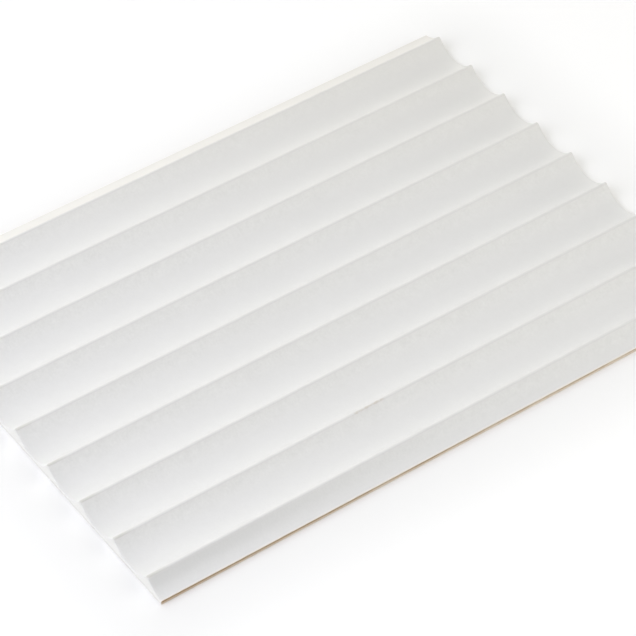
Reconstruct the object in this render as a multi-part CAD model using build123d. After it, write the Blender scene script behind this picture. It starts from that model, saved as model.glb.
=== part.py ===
"""A white-faced board with scalloped flutes along its length, machined from one sheet.

X runs along the flutes, Y across them and Z up out of the fluted face. The origin is the middle of
the flat underside.
"""
from math import sqrt
import os

from build123d import *

# Driving dimensions, in millimetres
crest_count = 9  # crests side by side across the board
crest_pitch = 25.0  # from one crest to the next
edge_margin = 10.0  # from an outer crest to the sawn long edge beside it
board_length = 298.0  # along the flutes, from end to end
flute_depth = 6.0  # from the top of a crest down to the bottom of a flute
web_thickness = 2.0  # board left under the bottom of a flute, thin enough to bend
crest_radius = 1.0  # rounding on top of a crest
end_easing = 0.3  # rounding of the arris between the fluted face and each end

# Sizes that follow
board_thickness = web_thickness + flute_depth
half_pitch = crest_pitch / 2
crest_span = (crest_count - 1) * crest_pitch
half_width = crest_span / 2 + edge_margin

# A crest arc and a flute arc touch where the line between their centres crosses both, so the
# distance between the centres, and with it the flute's radius, follows from pitch and depth.
centre_distance = (half_pitch**2 + flute_depth**2) / (2 * flute_depth)
flute_radius = centre_distance - crest_radius
flute_centre_height = web_thickness + flute_radius
crest_centre_height = board_thickness - crest_radius

# Where the two arcs touch, sideways from the middle of the crest and up from the underside
touch_offset = crest_radius * half_pitch / centre_distance
touch_height = crest_centre_height + crest_radius * (centre_distance - flute_depth) / centre_distance

# Height of the sawn edges, which cut through the outer flutes beside their bottoms
edge_height = flute_centre_height - sqrt(flute_radius**2 - (half_pitch - edge_margin) ** 2)


def section():
    """The outline across the flutes: flat underside, sawn edges and scalloped face."""
    near_foot = (-half_width, 0)
    near_edge = (-half_width, edge_height)
    far_edge = (half_width, edge_height)
    far_foot = (half_width, 0)
    with BuildSketch(Plane.YZ) as outline:
        with BuildLine():
            last_crest_end = near_edge
            for i in range(crest_count):
                crest_middle = -crest_span / 2 + i * crest_pitch
                crest_start = (crest_middle - touch_offset, touch_height)
                crest_end = (crest_middle + touch_offset, touch_height)
                RadiusArc(last_crest_end, crest_start, -flute_radius)
                RadiusArc(crest_start, crest_end, crest_radius)
                last_crest_end = crest_end
            RadiusArc(last_crest_end, far_edge, -flute_radius)
            Polyline(far_edge, far_foot, near_foot, near_edge)
        make_face()
    return outline.sketch


def fluted_panel():
    """The whole board, with the upper arrises of its ends eased as sanding leaves them."""
    board = extrude(section(), amount=board_length / 2, both=True)
    face_arrises = board.edges().filter_by(GeomType.CIRCLE)
    return fillet(face_arrises, radius=end_easing)


os.makedirs("parts", exist_ok=True)
panel = fluted_panel()
panel.label = "fluted_panel"
export_step(panel, "parts/fluted_panel.step")
print("fluted_panel volume", round(panel.volume), "mm3, box", panel.bounding_box().size)
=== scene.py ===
"""The fluted panel as it looks: white primer over machined fibreboard, bare where it was sawn."""

from math import asin, cos, pi, radians, sin, sqrt

import bmesh
import bpy
from mathutils import Matrix, Vector


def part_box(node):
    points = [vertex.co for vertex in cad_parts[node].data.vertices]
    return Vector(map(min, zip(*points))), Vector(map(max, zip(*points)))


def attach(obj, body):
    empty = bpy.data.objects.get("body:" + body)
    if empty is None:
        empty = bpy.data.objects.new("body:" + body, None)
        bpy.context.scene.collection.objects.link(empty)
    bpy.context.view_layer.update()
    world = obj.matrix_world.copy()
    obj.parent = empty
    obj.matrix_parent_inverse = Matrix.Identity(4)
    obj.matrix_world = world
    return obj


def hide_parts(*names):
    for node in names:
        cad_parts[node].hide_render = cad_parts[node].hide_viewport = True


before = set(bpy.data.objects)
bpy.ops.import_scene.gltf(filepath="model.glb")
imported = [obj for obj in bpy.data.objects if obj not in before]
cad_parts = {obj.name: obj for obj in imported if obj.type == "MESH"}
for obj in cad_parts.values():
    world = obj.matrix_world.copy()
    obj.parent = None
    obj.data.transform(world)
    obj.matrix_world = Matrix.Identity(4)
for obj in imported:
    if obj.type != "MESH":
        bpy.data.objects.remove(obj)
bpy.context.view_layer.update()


# The board

# One sheet of fibreboard. A round-nosed cutter has run its flutes from end to end and left a narrow
# crest between each two. The board was primed white, and its long edges were sawn afterwards, part
# way down the outer flutes, so they show the bare brown fibreboard, as its back does.
board_low, board_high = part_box("fluted_panel")
board_length = board_high.x - board_low.x
board_width = board_high.y - board_low.y
board_thickness = board_high.z
half_length = board_length / 2
half_width = board_width / 2

crest_count = 9
edge_margin = 0.010  # from an outer crest to the sawn edge beside it
crest_radius = 0.001  # rounding on top of a crest
web_thickness = 0.002  # board left under the bottom of a flute
end_easing = 0.0005  # rounding where the fluted face meets an end
back_easing = 0.00015  # rounding all round the back

outer_crest = half_width - edge_margin
crest_pitch = 2 * outer_crest / (crest_count - 1)
half_pitch = crest_pitch / 2
flute_depth = board_thickness - web_thickness

# The flute's arc and the crest's arc touch on the line through their centres.
centre_distance = (half_pitch**2 + flute_depth**2) / (2 * flute_depth)
flute_radius = centre_distance - crest_radius
flank_angle = asin(half_pitch / centre_distance)
cut_top = web_thickness + flute_radius - sqrt(flute_radius**2 - (half_pitch - edge_margin) ** 2)

flute_steps = 20  # facets from the bottom of a flute up to a crest
crest_steps = 10  # facets over a crest
square_turn = radians(60)  # far more than the bend between two facets
nearly = 1e-6  # a distance too small to count
slant = Vector((1.0, 0.0371, 0.00713))  # a direction in which no two parts of the mesh lie level


def carry_on(mesh, last_vertex, centre_y, centre_z, angle, steps):
    """Takes the outline on from its last vertex, along an arc round a line parallel to X."""
    swept = bmesh.ops.spin(
        mesh,
        geom=[last_vertex],
        cent=(0, centre_y, centre_z),
        axis=(1, 0, 0),
        dvec=(0, 0, 0),
        angle=angle,
        steps=steps,
        use_merge=False,
    )
    return [v for v in swept["geom_last"] if isinstance(v, bmesh.types.BMVert)][0]


def scalloped_outline(mesh, x):
    """One flute bottom to the next, once for each crest, so it reaches past both sawn edges."""
    first_bottom = -crest_pitch * crest_count / 2
    flute_centre_z = web_thickness + flute_radius
    crest_centre_z = board_thickness - crest_radius
    last = bmesh.ops.create_vert(mesh, co=(x, first_bottom, web_thickness))["vert"][0]
    for i in range(crest_count):
        bottom = first_bottom + i * crest_pitch
        last = carry_on(mesh, last, bottom, flute_centre_z, flank_angle, flute_steps)
        last = carry_on(mesh, last, bottom + half_pitch, crest_centre_z, -2 * flank_angle, crest_steps)
        last = carry_on(mesh, last, bottom + crest_pitch, flute_centre_z, flank_angle, flute_steps)


def is_arris(edge):
    """True where the fluted face, an end, a sawn edge or the back meets its neighbour."""
    return edge.calc_face_angle() > square_turn


def is_face_end(edge):
    """True on the upper arris of an end, which runs across the board and over its crests."""
    first, second = (v.co for v in edge.verts)
    raised = min(first.z, second.z) > nearly
    runs_across = abs(first.x - second.x) < nearly and abs(first.y - second.y) > nearly
    return is_arris(edge) and raised and runs_across


def is_foot(edge):
    """True on the arris all round the back."""
    return is_arris(edge) and max(v.co.z for v in edge.verts) < nearly


def ease(mesh, edges, radius, segments):
    bmesh.ops.bevel(
        mesh, geom=edges, offset=radius, segments=segments, profile=0.5, affect="EDGES", material=-1
    )


def along_slant(part):
    """How far along the slant the middle of a vertex, an edge or a face lies."""
    corners = [part] if isinstance(part, bmesh.types.BMVert) else part.verts
    return sum(v.co.dot(slant) for v in corners) / len(corners)


def fluted_board():
    mesh = bmesh.new()
    scalloped_outline(mesh, board_low.x)

    # The cutter's path: the outline drawn out along the board
    drawn = bmesh.ops.extrude_edge_only(mesh, edges=mesh.edges[:])
    far_end = [v for v in drawn["geom"] if isinstance(v, bmesh.types.BMVert)]
    bmesh.ops.translate(mesh, verts=far_end, vec=(board_length, 0, 0))

    # The two saw cuts
    for y in (board_low.y, board_high.y):
        everything = mesh.verts[:] + mesh.edges[:] + mesh.faces[:]
        bmesh.ops.bisect_plane(
            mesh, geom=everything, plane_co=(0, y, 0), plane_no=(0, y, 0), clear_outer=True
        )

    # The board's body, from the fluted face down to its flat back
    body = bmesh.ops.extrude_face_region(mesh, geom=mesh.faces[:], use_keep_orig=True)
    back = [v for v in body["geom"] if isinstance(v, bmesh.types.BMVert)]
    bmesh.ops.scale(mesh, vec=(1, 1, 0), verts=back)
    bmesh.ops.recalc_face_normals(mesh, faces=mesh.faces[:])

    # The ends' upper arrises, rubbed down before priming, and the arris round the back
    ease(mesh, [e for e in mesh.edges if is_face_end(e)], end_easing, segments=3)
    ease(mesh, [e for e in mesh.edges if is_foot(e)], back_easing, segments=2)

    # Extruded parts are listed in another order on each run, so the lists are sorted by place
    for parts in (mesh.verts, mesh.edges, mesh.faces):
        parts.sort(key=along_slant)
    data = bpy.data.meshes.new("fluted_board")
    mesh.to_mesh(data)
    mesh.free()
    return data


def is_rounded(face):
    """True where shading rounds over the facets, and False on the flat ends, edges and back."""
    squarely = 0.99
    faces_end = abs(face.normal.x) >= squarely
    faces_edge = abs(face.normal.y) >= squarely
    faces_down = face.normal.z <= -0.5
    return not (faces_end or faces_edge or faces_down)


class Value:
    """A shader socket's value. Sums on it, and on numbers beside it, add Math nodes."""

    def __init__(self, tree, socket=None):
        self.tree = tree
        self.socket = socket

    def node(self, kind, settings=None, sockets=None, output=0):
        """Adds a node: first its settings, then the values or links of its sockets."""
        added = self.tree.nodes.new(kind)
        for name, setting in (settings or {}).items():
            setattr(added, name, setting)
        for name, value in (sockets or {}).items():
            if isinstance(value, Value):
                self.tree.links.new(value.socket, added.inputs[name])
            else:
                added.inputs[name].default_value = value
        return Value(self.tree, added.outputs[output] if added.outputs else None)

    def math(self, operation, *values):
        return self.node("ShaderNodeMath", {"operation": operation}, dict(enumerate(values)))

    def __add__(self, other):
        return self.math("ADD", self, other)

    def __sub__(self, other):
        return self.math("SUBTRACT", self, other)

    def __rsub__(self, other):
        return self.math("SUBTRACT", other, self)

    def __mul__(self, other):
        return self.math("MULTIPLY", self, other)

    __radd__ = __add__
    __rmul__ = __mul__

    def absolute(self):
        return self.math("ABSOLUTE", self)

    def at_least(self, least):
        return self.math("MAXIMUM", self, least)

    def fade(self, gone, full):
        """0 where the value is gone, 1 where it is full, and a smooth change between."""
        sockets = {"Value": self, "From Min": gone, "From Max": full}
        return self.node("ShaderNodeMapRange", {"interpolation_type": "SMOOTHSTEP"}, sockets)

    def along(self, axis):
        """This place's distance along X, Y or Z."""
        return self.node("ShaderNodeSeparateXYZ", None, {0: self}, output=axis)

    def stretched(self, x, y, z):
        """This place with each direction multiplied. Less than 1 draws the grain out that way."""
        return self.node("ShaderNodeVectorMath", {"operation": "MULTIPLY"}, {0: self, 1: (x, y, z)})

    def grain(self, feature, detail):
        """Noise from 0 to 1 at this place, its grains about one feature apart, in metres."""
        sockets = {"Vector": self, "Scale": 1 / feature, "Detail": detail}
        return self.node("ShaderNodeTexNoise", {"noise_dimensions": "3D"}, sockets)

    def blend(self, first, second):
        """The first colour where this value is 0, and the second where it is 1."""
        sockets = {0: self, 6: first, 7: second}
        return self.node("ShaderNodeMix", {"data_type": "RGBA"}, sockets, output=2)


def clear_tree(owner):
    owner.use_nodes = True
    owner.node_tree.nodes.clear()
    return Value(owner.node_tree)


# Where the second crest from the front has been rubbed, just in front of its top
rub_x = -0.0196
rub_y = crest_pitch - outer_crest - 0.0003
rub_half_length = 0.0105
rub_half_width = 0.0006


def rubbed(place):
    """1 where the primer has been rubbed thin, with a broken outline."""
    broken = place.grain(feature=0.0012, detail=2.0) * 1.6 - 0.8
    lengthwise = (place.along("X") - rub_x).absolute() * (1 / rub_half_length) + broken
    sideways = (place.along("Y") - rub_y).absolute() * (1 / rub_half_width) + broken
    return lengthwise.fade(gone=1.0, full=0.1) * sideways.fade(gone=1.0, full=0.2)


primer_shade = (0.744, 0.741, 0.728, 1)
primer_light = (0.866, 0.863, 0.850, 1)
# Painted shade for the crest tops
crest_painted_shade = (0.763, 0.759, 0.745, 1)
# Painted warm light towards the far corner
painted_warm_light = (0.812, 0.800, 0.766, 1)
# Painted light on the strip behind the rearmost crest
rear_painted_light = (0.845, 0.822, 0.775, 1)
# Painted highlight along the arris beside the front cut
arris_painted_highlight = (0.910, 0.870, 0.820, 1)
# Painted shade along the front strip towards its left end
strip_shade_colour = (0.722, 0.719, 0.708, 1)
# Painted light on the ends, and painted shade at their foot and up their crests
end_painted_light = (0.864, 0.859, 0.828, 1)
end_shaded = (0.690, 0.680, 0.650, 1)
# Painted shade on the crests' tops near the left end
tip_shade_colour = (0.695, 0.688, 0.652, 1)
rubbed_primer = (0.540, 0.450, 0.330, 1)
primer_roughness = 0.58


def primer_coat(place):
    """The primer's colour, roughness and height."""
    x = place.along("X")
    y = place.along("Y")
    z = place.along("Z")
    below_top = board_thickness - z
    flank = below_top.fade(gone=flute_depth - 0.0004, full=0.0025)
    # Painted highlight on the shoulders beside each crest
    shoulder_highlight = (below_top - 0.0009).absolute().fade(gone=0.0009, full=0.0003)
    cap = below_top.fade(gone=0.00055, full=0.00025)

    # An orange-peel film over the raised grain, rougher up the flanks, with a painted highlight on the
    # shoulders
    peel = place.grain(feature=0.0012, detail=1.0)
    patches = place.grain(feature=0.0032, detail=1.0)
    strokes = place.stretched(0.02, 1, 1).grain(feature=0.0007, detail=1.0)
    clouds = place.grain(feature=0.030, detail=2.0)
    mottle = (peel - 0.5) * 0.8 + (patches - 0.5) * 0.7
    tone = 0.5 + mottle * (0.22 + flank * 0.53) + (strokes - 0.5) * 0.05 + (clouds - 0.5) * 0.10
    colour = (tone + shoulder_highlight * 0.07).blend(primer_shade, primer_light)

    # Where its colour differs: painted shade on the crest tops, painted warm light towards the far
    # corner, painted light behind the rearmost crest, a painted highlight beside the front cut and
    # painted shade along the front strip towards its left end
    warm_light_share = (x * 0.5 + y).fade(gone=0.020, full=0.180)
    rear_strip = y.fade(gone=outer_crest + 0.0006, full=outer_crest + 0.0022)
    behind_cut = y + half_width
    beside_cut = behind_cut.fade(gone=0.0008, full=0.0003)
    front_strip = behind_cut.fade(gone=edge_margin, full=edge_margin - 0.0015)
    front_strip_painted_shade = front_strip * flank * x.fade(gone=0.030, full=-0.160)

    # The ends carry painted light, lighter and warmer than the flutes, with painted shade at their foot
    # and up their crests, and painted shade on the crests' tops near the left end
    on_end = (half_length - x.absolute()).fade(gone=0.00008, full=0.00002)
    end_shade = z.fade(gone=0.0016, full=0.0004) * 0.6 + z.fade(gone=0.0048, full=0.0075) * 0.6
    tip_painted_shade = cap * (x + half_length).fade(gone=0.012, full=0.003)
    for share, tint in (
        (cap, crest_painted_shade),
        (warm_light_share * 0.5, painted_warm_light),
        (rear_strip * 0.6, rear_painted_light),
        (beside_cut * 0.8, arris_painted_highlight),
        (front_strip_painted_shade, strip_shade_colour),
        (on_end * 0.85, end_shade.blend(end_painted_light, end_shaded)),
        (tip_painted_shade, tip_shade_colour),
        (rubbed(place) * 0.4, rubbed_primer),
    ):
        colour = share.blend(colour, tint)
    roughness = primer_roughness + (peel - 0.5) * 0.10 - cap * 0.05
    height = peel * (0.4 + flank * 0.5) + strokes * 0.1
    return colour, roughness, height


board_tan = (0.510, 0.320, 0.160, 1)
board_brown = (0.310, 0.190, 0.085, 1)
fibre_pale = (0.660, 0.540, 0.390, 1)
# The paler colour that the sawn edges take in places
pale_edge_colour = (0.815, 0.715, 0.605, 1)
board_roughness = 0.85
line_height = 0.00148  # of the darker line along a sawn edge


def bare_fibreboard(place):
    """The colour and height of bare fibreboard, with its sawn edges paler in places."""
    x = place.along("X")
    y = place.along("Y")
    z = place.along("Z")

    # Brown felted fibres, darker and denser towards the back
    felt = place.stretched(1, 1, 2).grain(feature=0.0006, detail=4.0)
    pale_grain = place.stretched(1, 0.25, 3).grain(feature=0.0005, detail=3.0)
    dark_grain = place.stretched(0.25, 1, 3).grain(feature=0.0006, detail=3.0)
    pale_fibres = pale_grain.fade(gone=0.56, full=0.70)
    dark_fibres = dark_grain.fade(gone=0.56, full=0.70)
    dense = z.fade(gone=0.0012, full=0.0)
    line = (z - line_height).absolute().fade(gone=0.00038, full=0.00016)
    tone = felt * 0.9 + dense * 0.25 + dark_fibres * 0.35 + line * 0.55 - 0.15
    colour = tone.at_least(0.0).blend(board_tan, board_brown)
    colour = (pale_fibres * 0.4).blend(colour, fibre_pale)

    # The sawn edge is paler towards the right, and less pale at the left corner and on the line
    drift = place.stretched(0.12, 1, 1).grain(feature=0.0012, detail=3.0) - 0.5
    rightward = x.fade(gone=-0.190, full=0.040)
    left_corner = x.fade(gone=-0.124, full=-0.147)
    edge_paleness = 0.66 + rightward * 0.30 - left_corner * 0.15
    edge_paleness = edge_paleness - line * (1 - rightward * 0.34) + drift * (0.5 + line * 1.2)
    on_edge = (half_width - y.absolute()).fade(gone=2 * back_easing, full=back_easing)
    colour = (edge_paleness.at_least(0.0) * on_edge).blend(colour, pale_edge_colour)
    saw_marks = place.stretched(1, 0.02, 0.1).grain(feature=0.0005, detail=1.0)
    height = felt * 1.2 + saw_marks * 0.8
    return colour, height


def bare_places(place):
    """1 where the saw and the back left no primer, with a slightly chipped outline."""
    y = place.along("Y")
    z = place.along("Z")
    chips = place.grain(feature=0.0005, detail=2.0) * 0.0004 - 0.0001
    on_edge = (half_width - y.absolute()).fade(gone=0.00004, full=0.00001)
    sawn = on_edge * (z + chips).fade(gone=cut_top, full=cut_top - 0.00005)
    under = z.fade(gone=0.00012, full=0.00006)
    return sawn.at_least(under)


bump_depth = 0.00004


def primed_fibreboard():
    material = bpy.data.materials.new("primed_fibreboard")
    tree = clear_tree(material)
    place = tree.node("ShaderNodeTexCoord", output="Object")
    primer_colour, roughness, primer_height = primer_coat(place)
    board_colour, board_height = bare_fibreboard(place)
    bare = bare_places(place)
    colour = bare.blend(primer_colour, board_colour)
    roughness = roughness + bare * (board_roughness - primer_roughness)
    height = primer_height * (1 - bare) + board_height * bare
    bump = tree.node("ShaderNodeBump", None, {"Distance": bump_depth, "Height": height})
    surface = tree.node(
        "ShaderNodeBsdfPrincipled", None, {"Base Color": colour, "Roughness": roughness, "Normal": bump}
    )
    tree.node("ShaderNodeOutputMaterial", None, {"Surface": surface})
    return material


board = bpy.data.objects.new("fluted_board", fluted_board())
bpy.context.scene.collection.objects.link(board)
for face in board.data.polygons:
    face.use_smooth = is_rounded(face)
board.data.materials.append(primed_fibreboard())
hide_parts("fluted_panel")
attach(board, "root")


# The table top

# A flat white table top, which the board lies on. It keeps the board's shadow, has a little painted
# shade along the board's foot, and painted shade round the board that gives way to plain white farther
# off, sooner behind the board than beside it.
floor_reach = 3  # from its middle to each side
floor_white = (0.9, 0.898, 0.891, 1)
glow_white = (0.98, 0.98, 1, 1)


def in_view(tree):
    """1 for what is seen, straight or in a reflection or through glass, and 0 for light that falls."""
    straight = tree.node("ShaderNodeLightPath", output="Is Camera Ray")
    reflected = tree.node("ShaderNodeLightPath", output="Is Glossy Ray")
    let_through = tree.node("ShaderNodeLightPath", output="Is Transmission Ray")
    return straight + reflected + let_through


def white_table_top():
    material = bpy.data.materials.new("white_floor")
    tree = clear_tree(material)
    place = tree.node("ShaderNodeTexCoord", output="Object")
    y = place.along("Y")
    beside = (place.along("X").absolute() - half_length).at_least(0.0)
    before = (y * -1 - half_width).at_least(0.0) * 1.15
    behind = (y - (half_width - 0.020)).at_least(0.0)
    squares = beside * beside + before * before + behind * behind
    away = squares.math("SQRT", squares)
    # Painted shade: the glow is weaker along the board's foot and near the board
    glow = 0.044 + away.fade(gone=0.0, full=0.0016) * 0.062
    glow = glow + away.fade(gone=0.010, full=0.055) * 0.080 + away.fade(gone=0.25, full=1.3) * 0.9
    sockets = {"Color": glow_white, "Strength": in_view(tree) * glow}
    whitening = tree.node("ShaderNodeEmission", None, sockets)
    paper = tree.node("ShaderNodeBsdfDiffuse", None, {"Color": floor_white})
    both = tree.node("ShaderNodeAddShader", None, {0: paper, 1: whitening})
    tree.node("ShaderNodeOutputMaterial", None, {"Surface": both})
    return material


floor_mesh = bmesh.new()
bmesh.ops.create_grid(floor_mesh, x_segments=1, y_segments=1, size=floor_reach)
floor_data = bpy.data.meshes.new("floor")
floor_mesh.to_mesh(floor_data)
floor_mesh.free()
floor = bpy.data.objects.new("floor", floor_data)
bpy.context.scene.collection.objects.link(floor)
floor.data.materials.append(white_table_top())


# Light

# Five soft square lamps stand round the board and face it: a screen to its left and one behind, a
# cool window above the left one, a screen at the front right and a low window behind at the right.
# The room is white to look at and gives no light of its own.
world = bpy.data.worlds.new("studio")
tree = clear_tree(world)
sky = tree.node("ShaderNodeBackground", None, {"Color": (1, 1, 1, 1), "Strength": in_view(tree)})
tree.node("ShaderNodeOutputWorld", None, {"Surface": sky})
bpy.context.scene.world = world
bpy.context.scene.view_settings.view_transform = "Standard"

for name, azimuth, elevation, distance, width, energy, colour in (
    ("left_screen", 180, 30, 2.2, 2.2, 25.3, (1.0, 0.983, 0.987)),
    ("back_screen", 90, 30, 2.2, 2.2, 29.9, (1.0, 0.989, 0.925)),
    ("left_window", 180, 55, 1.3, 1.3, 8.0, (0.827, 0.862, 0.980)),
    ("front_right_screen", 315, 30, 1.3, 1.3, 10.95, (1.0, 0.986, 0.918)),
    ("low_window", 60, 14, 1.6, 0.56, 1.8, (1.0, 0.984, 0.940)),
):
    lamp_data = bpy.data.lights.new(name, "AREA")
    lamp_data.energy = energy
    lamp_data.color = colour
    lamp_data.size = width
    lamp = bpy.data.objects.new(name, lamp_data)
    lamp.location = (
        distance * cos(radians(azimuth)) * cos(radians(elevation)),
        distance * sin(radians(azimuth)) * cos(radians(elevation)),
        distance * sin(radians(elevation)),
    )
    lamp.rotation_mode = "QUATERNION"
    lamp.rotation_quaternion = (-lamp.location).to_track_quat("-Z", "Y")
    bpy.context.scene.collection.objects.link(lamp)


# The camera

# It looks down on the board from the front left, through a long lens. Its place, turn and lens were
# fitted to the nine crest lines of the photograph.
camera_azimuth = radians(-35.4585)
camera_elevation = radians(44.8239)
camera_roll = radians(-0.106)
camera_distance = 1.4717
aim = Vector((-0.00728, -0.01999, board_thickness))
camera_data = bpy.data.cameras.new("camera")
camera_data.sensor_width = 36
camera_data.lens = 192.35
camera = bpy.data.objects.new("camera", camera_data)
turn = (
    Matrix.Rotation(camera_azimuth, 4, "Z")
    @ Matrix.Rotation(pi / 2 - camera_elevation, 4, "X")
    @ Matrix.Rotation(camera_roll, 4, "Z")
)
camera.matrix_world = Matrix.Translation(aim) @ turn @ Matrix.Translation((0, 0, camera_distance))
bpy.context.scene.collection.objects.link(camera)
bpy.context.scene.camera = camera
